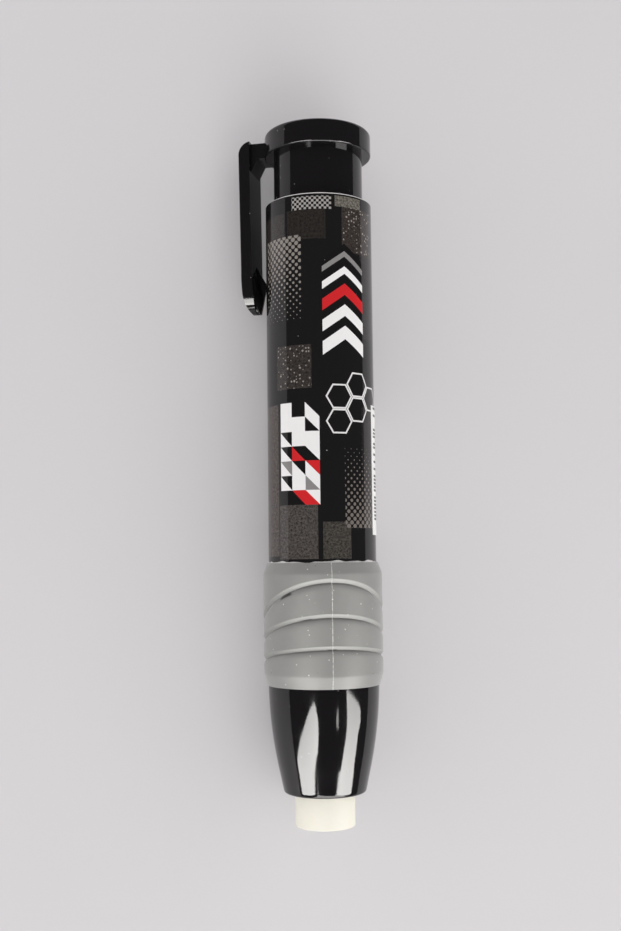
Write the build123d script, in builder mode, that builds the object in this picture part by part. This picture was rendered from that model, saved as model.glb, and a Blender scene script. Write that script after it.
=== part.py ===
from build123d import *
from math import asin, cos, degrees, pi, radians, sin, sqrt
import os

# Push-button eraser stick, lying on its side. All lengths are millimetres.
# The pen's axis is the Y axis. The origin is the centre of the eraser's flat
# tip, the push cap is toward +Y, and +Z is up as the pen lies on a table.
# A turn about the axis is counted in degrees from straight up toward +X.

# Eraser stick and how far it stands out of the nose.
eraser_diameter = 9.88
eraser_length = 80.0
eraser_reach = 5.5

# Feed tube, which carries the eraser and the push cap.
tube_play = 0.46
tube_wall = 0.9
socket_length = 7.0
socket_wall = 1.15

# Push cap: neck in the barrel, flange disc and closed roof.
fit = 0.02
neck_wall = 1.31
neck_play = 0.17
neck_length = 17.0
neck_show = 8.65
flange_thickness = 4.08
flange_overhang = 0.08
flange_front_round = 0.3
flange_rear_round = 0.7
cap_roof = 1.5

# Barrel tube and the printed film round it.
barrel_wall = 1.2
barrel_front_wall = 0.91
body_length = 61.1
bore_step = 3.0
bore_taper = 1.5
rim_chamfer = 0.15
film_thickness = 0.08
film_front_margin = 0.2
film_rear_margin = 0.06

# Blank stick-on label on the film, low on the right. Its width and its place
# from the crest are measured round the film.
label_length = 21.7
label_width = 12.0
label_from_grip = 4.5
label_from_crest = 8.5
label_thickness = 0.08

# Rubber grip sleeve with its end bevels and fanned grooves.
grip_length = 20.25
grip_wall = 1.6
grip_front_bevel_length = 1.95
grip_front_bevel_depth = 0.6
grip_rear_bevel_length = 1.75
grip_rear_bevel_depth = 0.7
grip_bevel_round = 1.2
groove_depth = 0.45
groove_slow_width = 0.65
groove_steep_width = 0.35
groove_seam_turn = -5.2
groove_peaks = [6.3, 11.4, 17.0]
groove_leans = [11.0, 20.0, 29.2]

# Nose cone: a slow rear cone, a knee and a faster front cone.
nose_length = 17.65
nose_overlap = 0.19
nose_knee_length = 9.3
nose_knee_lip = 3.88
nose_knee_round = 43.0
nose_front_lip = 1.88
nose_edge_round = 0.5
nose_mouth_play = 0.18
nose_mouth_land = 2.0
nose_core_rise = 0.85
spigot_length = 9.0
spigot_play = 0.05

# Rubber ring in the nose that drags on the eraser.
drag_ring_length = 6.0
drag_ring_wall = 0.8
drag_lip_height = 0.43
drag_lip_width = 0.9
drag_lip_count = 3

# Collet with its jaws, and the ring that closes them.
jaw_length = 5.5
jaw_wall = 0.72
jaw_count = 3
slit_width = 0.9
slit_length = 13.0
head_rise = 0.6
head_lead = 1.5
head_chamfer = 0.3
stem_relief = 0.14
jaw_opening = 0.3
running_play = 0.03
clutch_length = 5.0
clutch_wall = 0.6
clutch_play = 0.06
clutch_chamfer = 0.25
housing_wall = 0.5
web_thickness = 1.2
web_play = 0.25

# Return spring and the push stroke.
spring_length = 14.0
spring_wire = 0.9
spring_play = 0.2
spring_turns = 5
push_stroke = 6.5
feed_step = 3.0
stop_gap = 0.3

# Pocket clip, one moulding with the cap. The pen lies on the clip's edge.
clip_drop = 26.7
clip_width = 7.0
clip_thickness = 1.95
clip_stand = 2.3
clip_lean = 0.4
clip_below_rear = 0.93
clip_length = 29.9
clip_top_bow = 2.3
clip_tail_bow = 3.6
clip_tip_thickness = 0.75
clip_taper_length = 6.4
clip_taper_round = 20.0
clip_edge_round = 0.2
bar_run_share = 0.7
arm_width = 5.2
arm_height = 2.65
arm_below_bar = 0.3
gusset_depth = 1.3
gusset_height = 2.3
keel_gap = 0.25
keel_root = 0.2
keel_length = 8.7
keel_peak_length = 4.9
keel_waist_length = 2.9
keel_shoulder_length = 2.4
keel_slope_rise = 1.0
keel_ridge_width = 0.7
keel_side_margin = 0.2

# One overrun for cuts that run past what they cut.
overrun = 1.0

# Radii, worked outward from the eraser.
eraser_radius = eraser_diameter / 2
tube_bore = eraser_radius + tube_play
tube_radius = tube_bore + tube_wall
neck_bore = tube_radius + fit
neck_radius = neck_bore + neck_wall
barrel_bore = neck_radius + neck_play
barrel_radius = barrel_bore + barrel_wall
film_radius = barrel_radius + film_thickness
flange_radius = film_radius + flange_overhang
jaw_bore = eraser_radius + fit
stem_radius = jaw_bore + jaw_wall
head_radius = stem_radius + head_rise
clutch_radius = head_radius + running_play + clutch_wall
housing_bore = clutch_radius + clutch_play
housing_radius = housing_bore + housing_wall
front_bore = housing_radius + fit
front_radius = front_bore + barrel_front_wall
grip_radius = front_radius + grip_wall
socket_bore = stem_radius + fit
socket_radius = socket_bore + socket_wall
spring_radius = stem_radius + spring_play + spring_wire / 2
web_bore = stem_radius + web_play
shoulder_bore = max(socket_radius, spring_radius + spring_wire / 2) + web_play

# Stations along the axis, from the eraser's tip to the cap's roof.
nose_front = eraser_reach
grip_front = nose_front + nose_length
grip_rear = grip_front + grip_length
barrel_rear = grip_rear + body_length
flange_front = barrel_rear + neck_show
cap_rear = flange_front + flange_thickness
spigot_rear = grip_front + spigot_length
clutch_front = spigot_rear + feed_step + running_play
clutch_rear = clutch_front + clutch_length
web_front = clutch_rear + running_play
web_rear = web_front + web_thickness
tube_front = web_rear + spring_length
socket_rear = tube_front + socket_length
tube_rear = cap_rear - cap_roof
collet_front = clutch_front - head_lead
nose_floor = collet_front - push_stroke - stop_gap
drag_ring_front = nose_floor - drag_ring_length


def turned(turn):
    """Unit direction out from the axis at a turn from straight up."""
    return Vector(sin(radians(turn)), 0, cos(radians(turn)))


def half_plane(turn):
    """Plane through the axis: x is the radius at that turn, y the station."""
    out = turned(turn)
    return Plane(origin=(0, 0, 0), x_dir=out, z_dir=out.cross(Vector(0, 1, 0)))


def cross_plane(station):
    """Plane square to the axis, facing the cap."""
    return Plane(origin=(0, station, 0), x_dir=(1, 0, 0), z_dir=(0, 1, 0))


os.makedirs("parts", exist_ok=True)

# Eraser stick: a cut length of extruded round eraser with a sharp flat tip.
with BuildPart() as eraser_stick:
    with BuildSketch(cross_plane(0)):
        Circle(eraser_radius)
    extrude(amount=eraser_length)

# Nose cone: turned outline outside, stepped bore inside, all open to the rear.
nose_rear_radius = film_radius + nose_overlap
nose_knee_radius = eraser_radius + nose_knee_lip
nose_front_radius = eraser_radius + nose_front_lip
nose_mouth = eraser_radius + nose_mouth_play
nose_pocket = eraser_radius + fit + drag_lip_height + drag_ring_wall + fit
nose_core = min(nose_mouth + nose_core_rise, nose_pocket)
spigot_radius = front_bore - spigot_play
spigot_bore = head_radius + jaw_opening
with BuildPart() as nose_cone:
    with BuildSketch(Plane.XY) as nose_profile:
        with BuildLine():
            Polyline(
                (nose_mouth, nose_front),
                (nose_front_radius, nose_front),
                (nose_knee_radius, nose_front + nose_knee_length),
                (nose_rear_radius, grip_front),
                (spigot_radius, grip_front),
                (spigot_radius, spigot_rear),
                (spigot_bore, spigot_rear),
                (spigot_bore, nose_floor),
                (nose_pocket, nose_floor),
                (nose_pocket, drag_ring_front),
                (nose_core, drag_ring_front),
                (nose_mouth, nose_front + nose_mouth_land),
                close=True,
            )
        make_face()
        knee = nose_profile.vertices().sort_by_distance(
            (nose_knee_radius, nose_front + nose_knee_length)
        )
        fillet(knee[0], radius=nose_knee_round)
        edge = nose_profile.vertices().sort_by_distance((nose_front_radius, nose_front))
        fillet(edge[0], radius=nose_edge_round)
    revolve(axis=Axis.Y)

# Drag ring: a moulded rubber bush whose inner lips hold the eraser.
drag_ring_radius = nose_pocket - fit
drag_ring_bore = drag_ring_radius - drag_ring_wall
lip_pitch = drag_ring_length / drag_lip_count
with BuildPart() as drag_ring:
    with BuildSketch(Plane.XY):
        with BuildLine():
            Polyline(
                (drag_ring_bore, drag_ring_front),
                (drag_ring_radius, drag_ring_front),
                (drag_ring_radius, nose_floor),
                (drag_ring_bore, nose_floor),
                close=True,
            )
        make_face()
        for index in range(drag_lip_count):
            middle = drag_ring_front + (index + 0.5) * lip_pitch
            with BuildLine():
                Polyline(
                    (drag_ring_bore + drag_ring_wall / 2, middle - drag_lip_width / 2),
                    (drag_ring_bore + drag_ring_wall / 2, middle + drag_lip_width / 2),
                    (drag_ring_bore, middle + drag_lip_width / 2),
                    (eraser_radius + fit, middle + drag_lip_width / 4),
                    (eraser_radius + fit, middle - drag_lip_width / 4),
                    (drag_ring_bore, middle - drag_lip_width / 2),
                    close=True,
                )
            make_face()
    revolve(axis=Axis.Y)

# Barrel: one moulded tube, stepped down in front to carry the grip. Inside,
# a shoulder behind the grip's middle holds the clutch housing.
wide_bore_front = grip_rear + bore_step
with BuildPart() as barrel:
    with BuildSketch(Plane.XY) as barrel_profile:
        with BuildLine():
            Polyline(
                (front_bore, grip_front),
                (front_radius, grip_front),
                (front_radius, grip_rear),
                (barrel_radius, grip_rear),
                (barrel_radius, barrel_rear),
                (barrel_bore, barrel_rear),
                (barrel_bore, wide_bore_front + bore_taper),
                (shoulder_bore, wide_bore_front),
                (shoulder_bore, web_rear),
                (front_bore, web_rear),
                close=True,
            )
        make_face()
        rim = barrel_profile.vertices().sort_by_distance((barrel_bore, barrel_rear))
        chamfer(rim[0], length=rim_chamfer)
        rim = barrel_profile.vertices().sort_by_distance((barrel_radius, barrel_rear))
        chamfer(rim[0], length=rim_chamfer)
    revolve(axis=Axis.Y)

# Printed film: a thin sleeve shrunk on the barrel, short of both its ends.
film_front = grip_rear + film_front_margin
film_rear = barrel_rear - rim_chamfer - film_rear_margin
with BuildPart() as printed_film:
    with BuildSketch(cross_plane(film_front)):
        Circle(film_radius)
        Circle(barrel_radius, mode=Mode.SUBTRACT)
    extrude(amount=film_rear - film_front)

# Blank label: a thin patch stuck round part of the film.
label_front = grip_rear + label_from_grip
with BuildPart() as blank_label:
    with BuildSketch(half_plane(degrees(label_from_crest / film_radius))):
        with Locations((film_radius + label_thickness / 2, label_front + label_length / 2)):
            Rectangle(label_thickness, label_length)
    revolve(axis=Axis.Y, revolution_arc=degrees(label_width / film_radius))

# Grip sleeve: bevelled at both ends. Three V grooves run round it on leaning
# ellipses, which crowd together on the side away from the mould seam.
seam_plane = half_plane(groove_seam_turn)
with BuildPart() as grip_sleeve:
    with BuildSketch(Plane.XY) as grip_profile:
        with BuildLine():
            Polyline(
                (front_radius, grip_front),
                (grip_radius - grip_front_bevel_depth, grip_front),
                (grip_radius, grip_front + grip_front_bevel_length),
                (grip_radius, grip_rear - grip_rear_bevel_length),
                (grip_radius - grip_rear_bevel_depth, grip_rear),
                (front_radius, grip_rear),
                close=True,
            )
        make_face()
        crests = grip_profile.vertices().group_by(Axis.X)[-1]
        fillet(crests, radius=grip_bevel_round)
    revolve(axis=Axis.Y)
    for peak, lean in zip(groove_peaks, groove_leans):
        half_long = grip_radius / cos(radians(lean))
        drop = grip_radius * sin(radians(lean)) / cos(radians(lean))
        centre = Vector(0, grip_front + peak - drop, 0)
        uphill = Vector(cos(radians(lean)), sin(radians(lean)), 0)
        long_axis = seam_plane.from_local_coords(uphill)
        ellipse_plane = Plane(origin=centre, x_dir=long_axis, z_dir=long_axis.cross(seam_plane.z_dir))
        start = Plane(origin=centre + long_axis * half_long, x_dir=long_axis, z_dir=seam_plane.z_dir)
        with BuildLine(ellipse_plane) as ring_line:
            EllipticalCenterArc((0, 0), half_long, grip_radius, arc_size=360)
        with BuildSketch(start):
            with BuildLine():
                Polyline(
                    (overrun, groove_slow_width),
                    (0, groove_slow_width),
                    (-groove_depth, 0),
                    (0, -groove_steep_width),
                    (overrun, -groove_steep_width),
                    close=True,
                )
            make_face()
        sweep(path=ring_line.line, mode=Mode.SUBTRACT)

# Clutch housing: a metal cup clamped between the nose's spigot and the
# barrel's shoulder. Its web stops the clutch ring and seats the spring.
with BuildPart() as clutch_housing:
    with BuildSketch(cross_plane(spigot_rear)):
        Circle(housing_radius)
    extrude(amount=web_rear - spigot_rear)
    with BuildSketch(cross_plane(spigot_rear)):
        Circle(housing_bore)
    extrude(amount=web_front - spigot_rear, mode=Mode.SUBTRACT)
    with BuildSketch(cross_plane(web_front)):
        Circle(web_bore)
    extrude(amount=web_thickness, mode=Mode.SUBTRACT)

# Clutch ring: a turned brass ring with a tapered bore that closes the jaws.
with BuildPart() as clutch_ring:
    with BuildSketch(Plane.XY) as ring_profile:
        with BuildLine():
            Polyline(
                (head_radius + running_play, clutch_front),
                (clutch_radius, clutch_front),
                (clutch_radius, clutch_rear),
                (stem_radius + running_play, clutch_rear),
                close=True,
            )
        make_face()
        chamfer(ring_profile.vertices().group_by(Axis.X)[-1], length=clutch_chamfer)
    revolve(axis=Axis.Y)

# Collet: a plastic sleeve whose slit head grips the eraser when the ring
# pulls over its cone. The stem is pressed into the feed tube.
with BuildPart() as collet:
    with BuildSketch(Plane.XY) as collet_profile:
        with BuildLine():
            Polyline(
                (jaw_bore, collet_front),
                (head_radius, collet_front),
                (head_radius, clutch_front),
                (stem_radius, clutch_rear),
                (stem_radius, socket_rear),
                (jaw_bore + stem_relief, socket_rear),
                (jaw_bore + stem_relief, collet_front + jaw_length),
                (jaw_bore, collet_front + jaw_length),
                close=True,
            )
        make_face()
        lead = collet_profile.vertices().sort_by_distance((head_radius, collet_front))
        chamfer(lead[0], length=head_chamfer)
    revolve(axis=Axis.Y)
    with BuildSketch(cross_plane(collet_front)):
        with PolarLocations(head_radius / 2, jaw_count):
            Rectangle(head_radius + overrun, slit_width)
    extrude(amount=slit_length, mode=Mode.SUBTRACT)

# Feed tube: carries the eraser. Its wide front socket takes the collet's stem
# and its front face takes the spring; the rear end stands in the cap.
with BuildPart() as feed_tube:
    with BuildSketch(Plane.XY):
        with BuildLine():
            Polyline(
                (socket_bore, tube_front),
                (socket_radius, tube_front),
                (socket_radius, socket_rear),
                (tube_radius, socket_rear + socket_wall),
                (tube_radius, tube_rear),
                (tube_bore, tube_rear),
                (tube_bore, socket_rear),
                (socket_bore, socket_rear),
                close=True,
            )
        make_face()
    revolve(axis=Axis.Y)


def helix_point(angle, start, climb):
    """Point on the spring's line, by its angle in radians."""
    height = start + climb * angle / (2 * pi)
    return Vector(spring_radius * cos(angle), height, spring_radius * sin(angle))


def helix_heading(angle, climb):
    """Unit heading of the spring's line at an angle."""
    heading = Vector(-spring_radius * sin(angle), climb / (2 * pi), spring_radius * cos(angle))
    return heading.normalized()


# Return spring: steel wire wound on biarcs of half a turn each.
spring_start = web_rear + spring_wire / 2 + fit
spring_rise = spring_length - spring_wire - 2 * fit
spring_pitch = spring_rise / spring_turns
with BuildPart() as return_spring:
    with BuildLine() as spring_line:
        for half_turn in range(2 * spring_turns):
            first = helix_point(half_turn * pi, spring_start, spring_pitch)
            last = helix_point((half_turn + 1) * pi, spring_start, spring_pitch)
            leave = helix_heading(half_turn * pi, spring_pitch)
            arrive = helix_heading((half_turn + 1) * pi, spring_pitch)
            span = last - first
            both = leave + arrive
            spread = 2 * (1 - leave.dot(arrive))
            along = span.dot(both)
            reach = (sqrt(along ** 2 + spread * span.dot(span)) - along) / spread
            joint = (first + last + (leave - arrive) * reach) * 0.5
            TangentArc(first, joint, tangent=leave)
            TangentArc(joint, last, tangent=arrive * -1, tangent_from_first=False)
    with BuildSketch(Plane(origin=spring_line.line @ 0, z_dir=spring_line.line % 0)):
        Circle(spring_wire / 2)
    sweep()

steps_a_turn = 40
spring_steps = spring_turns * steps_a_turn
spring_points = [spring_line.wire() @ (step / spring_steps) for step in range(spring_steps + 1)]
least_gap = min(
    (spring_points[one] - spring_points[two]).length - spring_wire
    for one in range(spring_steps + 1)
    for two in range(one + steps_a_turn // 2, spring_steps + 1)
)
print(f"return spring: least gap to itself {least_gap:.2f} mm")

# Push cap: flange disc, hollow neck and pocket clip in one moulding.
clip_plane = half_plane(-90 - clip_drop)
clip_out = turned(-90 - clip_drop)
bar_top = cap_rear - clip_below_rear
bar_tail = bar_top - clip_length
bar_inner = film_radius + clip_stand
bar_outer = bar_inner + clip_thickness
arm_top = bar_top - arm_below_bar
arm_bottom = arm_top - arm_height
lean_slope = clip_lean / clip_length
taper_turn = degrees(asin(clip_taper_length / clip_taper_round))
taper_half = clip_width / 2 - clip_taper_round * (1 - cos(radians(taper_turn)))
tip_round = taper_half / cos(radians(taper_turn))
taper_start = bar_tail + clip_taper_length + tip_round * (1 - sin(radians(taper_turn)))
keel_half = clip_width / 2 - keel_side_margin
keel_rise = bar_inner - clip_lean + keel_root - film_radius - keel_gap
with BuildPart() as push_cap:
    with BuildSketch(Plane.XY) as cap_profile:
        with BuildLine():
            Polyline(
                (0, tube_rear),
                (neck_bore, tube_rear),
                (neck_bore, flange_front - neck_length),
                (neck_radius, flange_front - neck_length),
                (neck_radius, flange_front),
                (flange_radius, flange_front),
                (flange_radius, cap_rear),
                (0, cap_rear),
                close=True,
            )
        make_face()
        rear_edge = cap_profile.vertices().sort_by_distance((flange_radius, cap_rear))
        fillet(rear_edge[0], radius=flange_rear_round)
        front_edge = cap_profile.vertices().sort_by_distance((flange_radius, flange_front))
        fillet(front_edge[0], radius=flange_front_round)
    revolve(axis=Axis.Y)
    # Arm from the flange's side to the bar, with the gusset under it.
    with BuildSketch(clip_plane):
        with BuildLine():
            Polyline(
                (neck_radius - neck_wall / 2, arm_top),
                (bar_inner + clip_thickness / 2, arm_top),
                (bar_inner + clip_thickness / 2, arm_bottom - gusset_height),
                (bar_inner - lean_slope * (arm_height + gusset_height), arm_bottom - gusset_height),
                (bar_inner - gusset_depth, arm_bottom),
                (neck_radius - neck_wall / 2, arm_bottom),
                close=True,
            )
        make_face()
    extrude(amount=arm_width / 2, both=True)
    # Bar, leaning in toward its tail, with its outer face bowed in at both ends.
    top_bow = (bar_outer, bar_top - clip_top_bow)
    tail_bow = (bar_outer - clip_lean, bar_tail + clip_tail_bow)
    tail_tip = (bar_inner - clip_lean + clip_tip_thickness, bar_tail)
    with BuildSketch(clip_plane):
        with BuildLine():
            TangentArc(top_bow, (bar_inner, bar_top), tangent=(0, 1))
            Polyline((bar_inner, bar_top), (bar_inner - clip_lean, bar_tail), tail_tip)
            TangentArc(tail_bow, tail_tip, tangent=(-clip_lean, -clip_length))
            Line(tail_bow, top_bow)
        make_face()
    extrude(amount=clip_width / 2, both=True)
    long_edges = push_cap.edges().filter_by(lambda edge: edge.length > clip_length * bar_run_share)
    outer_edges = long_edges.filter_by(lambda edge: (edge @ 0.5).dot(clip_out) > bar_inner)
    fillet(outer_edges, radius=clip_edge_round)
    # Keel under the bar's tail, which slides along the barrel: a pointed bow, a
    # crest that slopes back to the tip, and faces that close in at the tip.
    root_start = clip_out * (bar_inner - clip_lean + keel_root) + Vector(0, bar_tail, 0)
    half_ridge = keel_ridge_width / 2
    with BuildSketch(Plane(origin=root_start, x_dir=(0, 1, 0), z_dir=-clip_out)):
        with BuildLine():
            Polyline(
                (keel_length, 0),
                (keel_length - keel_shoulder_length, keel_half),
                (keel_waist_length, keel_half),
                (0, half_ridge),
                (0, -half_ridge),
                (keel_waist_length, -keel_half),
                (keel_length - keel_shoulder_length, -keel_half),
                close=True,
            )
        make_face()
    crest_run = clip_plane.from_local_coords(Vector(-keel_slope_rise, keel_peak_length, 0))
    crest_start = root_start - clip_out * (keel_rise - keel_slope_rise)
    with BuildSketch(Plane(origin=crest_start, x_dir=crest_run, z_dir=crest_run.cross(clip_plane.z_dir))):
        with BuildLine():
            Polyline(
                (keel_peak_length + half_ridge, 0),
                (keel_peak_length, half_ridge),
                (keel_waist_length, half_ridge),
                (0, half_ridge),
                (0, -half_ridge),
                (keel_waist_length, -half_ridge),
                (keel_peak_length, -half_ridge),
                close=True,
            )
        make_face()
    loft(ruled=True)
    # In plan the tail draws in on two long arcs and ends round, bar and keel alike.
    with BuildSketch(Plane(origin=clip_out * film_radius, x_dir=(0, 1, 0), z_dir=clip_out)):
        with BuildLine():
            near_arc = JernArc((taper_start, clip_width / 2), (-1, 0), clip_taper_round, taper_turn)
            tip_arc = JernArc(near_arc @ 1, near_arc % 1, tip_round, 180 - 2 * taper_turn)
            far_arc = JernArc(tip_arc @ 1, tip_arc % 1, clip_taper_round, taper_turn)
            Polyline(
                far_arc @ 1,
                (taper_start, -clip_width / 2 - overrun),
                (bar_tail - overrun, -clip_width / 2 - overrun),
                (bar_tail - overrun, clip_width / 2 + overrun),
                (taper_start, clip_width / 2 + overrun),
                near_arc @ 0,
            )
        make_face()
    extrude(amount=bar_outer - film_radius + overrun, mode=Mode.SUBTRACT)

pieces = {
    "eraser_stick": eraser_stick,
    "nose_cone": nose_cone,
    "drag_ring": drag_ring,
    "barrel": barrel,
    "printed_film": printed_film,
    "blank_label": blank_label,
    "grip_sleeve": grip_sleeve,
    "clutch_housing": clutch_housing,
    "clutch_ring": clutch_ring,
    "collet": collet,
    "feed_tube": feed_tube,
    "return_spring": return_spring,
    "push_cap": push_cap,
}
for name, piece in pieces.items():
    piece.part.label = name
    export_step(piece.part, f"parts/{name}.step")
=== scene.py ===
import math
import random

import bmesh
import bpy
from mathutils import Matrix, Vector


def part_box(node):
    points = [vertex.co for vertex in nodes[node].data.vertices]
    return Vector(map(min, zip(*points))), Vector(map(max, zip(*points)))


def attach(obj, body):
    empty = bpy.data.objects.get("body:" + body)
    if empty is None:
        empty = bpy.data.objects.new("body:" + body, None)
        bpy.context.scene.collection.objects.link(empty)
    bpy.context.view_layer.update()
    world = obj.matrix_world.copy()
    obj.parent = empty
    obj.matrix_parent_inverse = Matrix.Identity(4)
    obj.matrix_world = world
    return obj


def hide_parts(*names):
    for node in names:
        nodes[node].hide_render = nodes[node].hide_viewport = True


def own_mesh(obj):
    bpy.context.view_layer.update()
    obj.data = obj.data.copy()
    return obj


# A push-button eraser stick, lying on a table: black cap with its clip,
# printed barrel, grey rubber grip, black nose and a white eraser. The pen's
# axis is the Y axis, and the eraser's tip is at the origin. Lengths are metres.
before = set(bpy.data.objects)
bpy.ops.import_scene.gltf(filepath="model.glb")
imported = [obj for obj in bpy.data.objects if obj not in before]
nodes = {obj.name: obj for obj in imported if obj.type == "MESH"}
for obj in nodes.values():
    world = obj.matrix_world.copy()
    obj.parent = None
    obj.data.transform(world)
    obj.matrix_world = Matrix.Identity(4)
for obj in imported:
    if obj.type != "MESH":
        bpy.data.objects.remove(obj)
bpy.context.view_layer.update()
MM = 0.001

# Camera. It looks down on the pen from over the grip's end of the barrel, and
# from a little to the clip's side.
photo_height_px = 931
photo_focus_px = 1180
sensor_width = 36.0
camera_foot = 43.82 * MM
camera_aim = 59.84 * MM
camera_distance = 199.94 * MM
camera_side = 1.84 * MM
camera_turn = math.radians(-13.2)
camera_lean = math.radians(0.66)
toward_camera = Vector((math.sin(camera_turn), 0, math.cos(camera_turn)))
camera_place = Vector((0, camera_foot, 0)) + toward_camera * camera_distance
look = (Vector((0, camera_aim, 0)) - camera_place).normalized()
level_right = look.cross(Vector((0, 1, 0))).normalized()
level_up = level_right.cross(look)
right = level_right * math.cos(camera_lean) - level_up * math.sin(camera_lean)
up = level_up * math.cos(camera_lean) + level_right * math.sin(camera_lean)
camera_data = bpy.data.cameras.new("camera")
camera_data.sensor_width = sensor_width
camera_data.lens = sensor_width * photo_focus_px / photo_height_px
camera_data.clip_start = 10 * MM
camera = bpy.data.objects.new("camera", camera_data)
bpy.context.scene.collection.objects.link(camera)
camera_turned = Matrix((right, up, -look)).transposed().to_4x4()
camera.matrix_world = Matrix.Translation(camera_place - right * camera_side) @ camera_turned
bpy.context.scene.camera = camera
bpy.context.scene.view_settings.view_transform = "Standard"

# Table. A board painted a warm pale grey, rolled on, so it has a faint orange
# peel. The pen rests on its grip and cap disc, which gives the board its slope.
grip_low, grip_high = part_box("grip_sleeve")
cap_low, cap_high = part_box("push_cap")
table_half = 3.0
rest_span = cap_high.y - grip_high.y
table_slope = (cap_low.z - grip_low.z) / rest_span
bm = bmesh.new()
bmesh.ops.create_grid(bm, x_segments=8, y_segments=8, size=table_half)
for vertex in bm.verts:
    vertex.co.z = grip_low.z + table_slope * (vertex.co.y - grip_high.y)
table_mesh = bpy.data.meshes.new("table")
bm.to_mesh(table_mesh)
bm.free()
table = bpy.data.objects.new("table", table_mesh)
bpy.context.scene.collection.objects.link(table)


def linear(hex_colour):
    """Linear red, green, blue and alpha of an sRGB hex colour."""
    parts = [int(hex_colour[i:i + 2], 16) / 255 for i in (0, 2, 4)]
    return [v / 12.92 if v <= 0.04045 else ((v + 0.055) / 1.055) ** 2.4 for v in parts] + [1.0]


def new_material(name):
    """A new material, with its node tree and its surface shader."""
    made = bpy.data.materials.new(name)
    made.use_nodes = True
    return made, made.node_tree, made.node_tree.nodes["Principled BSDF"]


def wire(node, inputs):
    """Sets inputs of a node to constants, to outputs, or to other nodes' first outputs."""
    for name, value in inputs.items():
        if isinstance(value, bpy.types.Node):
            value = next(output for output in value.outputs if output.enabled)
        if isinstance(value, bpy.types.NodeSocket):
            node.id_data.links.new(value, node.inputs[name])
        else:
            node.inputs[name].default_value = value


def add(tree, kind, settings=None, inputs=None):
    """Adds one node with its settings and its inputs. A colour mix takes its share at 0
    and its colours at 6 and 7; a map range its value at 0, the span it comes from at 1
    and 2, and the span it goes to at 3 and 4."""
    made = tree.nodes.new(kind)
    for name, value in (settings or {}).items():
        setattr(made, name, value)
    wire(made, inputs or {})
    return made


painted_board, tree, shader = new_material("painted_board")
coords = add(tree, "ShaderNodeTexCoord").outputs["Object"]
peel = add(tree, "ShaderNodeTexNoise", inputs={"Vector": coords, "Scale": 1 / (1.5 * MM), "Detail": 3.0})
cloud = add(tree, "ShaderNodeTexNoise", inputs={"Vector": coords, "Scale": 1 / (60 * MM), "Detail": 2.0})
tone = add(tree, "ShaderNodeMix", {"data_type": "RGBA"},
           {0: cloud, 6: linear("d6d4d5"), 7: linear("dbd9da")})
bump = add(tree, "ShaderNodeBump", inputs={"Strength": 0.2, "Distance": 0.02 * MM, "Height": peel})
wire(shader, {"Base Color": tone, "Normal": bump, "Roughness": 0.7, "Specular IOR Level": 0.2})
# A little even glow in the camera's eye softens the pen's shadow.
glow_share = 0.26
path = add(tree, "ShaderNodeLightPath")
even = add(tree, "ShaderNodeEmission", inputs={"Color": tone, "Strength": 1.0})
share = add(tree, "ShaderNodeMath", {"operation": "MULTIPLY"},
            {0: path.outputs["Is Camera Ray"], 1: glow_share})
softened = add(tree, "ShaderNodeMixShader", inputs={0: share, 1: shader, 2: even})
wire(tree.nodes["Material Output"], {"Surface": softened})
table_mesh.materials.append(painted_board)

# Light. Soft boxes stand past the nose, on the left, on the right and low ahead,
# with a slit between them. They light nothing but gloss, and their corners are
# shaped so that the black nose shows the photograph's streaks and glint.
panel_distance = 0.7
# Each has its direction, the place and radiance at either end of its fade, and its
# corners, in its own plane.
panels = {
    "left_box": ((-0.685, -0.445, 0.575), (-0.14, 11.8), (0.09, 16.8), [
        (-0.125, 0.235), (-0.1, 0.275), (-0.03, 0.3), (0.0, 0.305), (0.045, 0.275), (0.09, 0.205),
        (0.085, 0.15), (0.11, 0.06), (0.1, -0.02), (-0.01, -0.38), (-0.055, -0.415),
        (-0.095, -0.42), (-0.115, -0.395), (-0.14, -0.2), (-0.14, 0.12)]),
    "right_box": ((0.71, -0.39, 0.59), (-0.2, 16.6), (0.19, 9.4), [
        (0.125, 0.28), (0.08, 0.24), (0.045, 0.205), (0.005, 0.18), (-0.045, 0.18), (-0.105, 0.19),
        (-0.19, 0.195), (-0.25, 0.245), (-0.33, 0.3), (-0.06, -0.19), (-0.015, -0.195), (0.01, -0.16),
        (0.11, -0.15), (0.165, -0.2), (0.2, -0.165), (0.195, -0.075), (0.175, 0.045), (0.145, 0.195)]),
    "front_box": ((0.04, -0.85, 0.5), (-0.45, 5.5), (0.45, 5.5), [
        (-0.45, -0.25), (0.45, -0.25), (0.45, 0.27), (-0.45, 0.27)]),
    "slit": ((0.26, -0.275, 0.925), (-0.05, 7.0), (0.05, 7.0), [
        (0.015, 0.05), (0.03, 0.035), (-0.01, -0.03), (-0.045, 0.01), (-0.03, 0.04)]),
}
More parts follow.
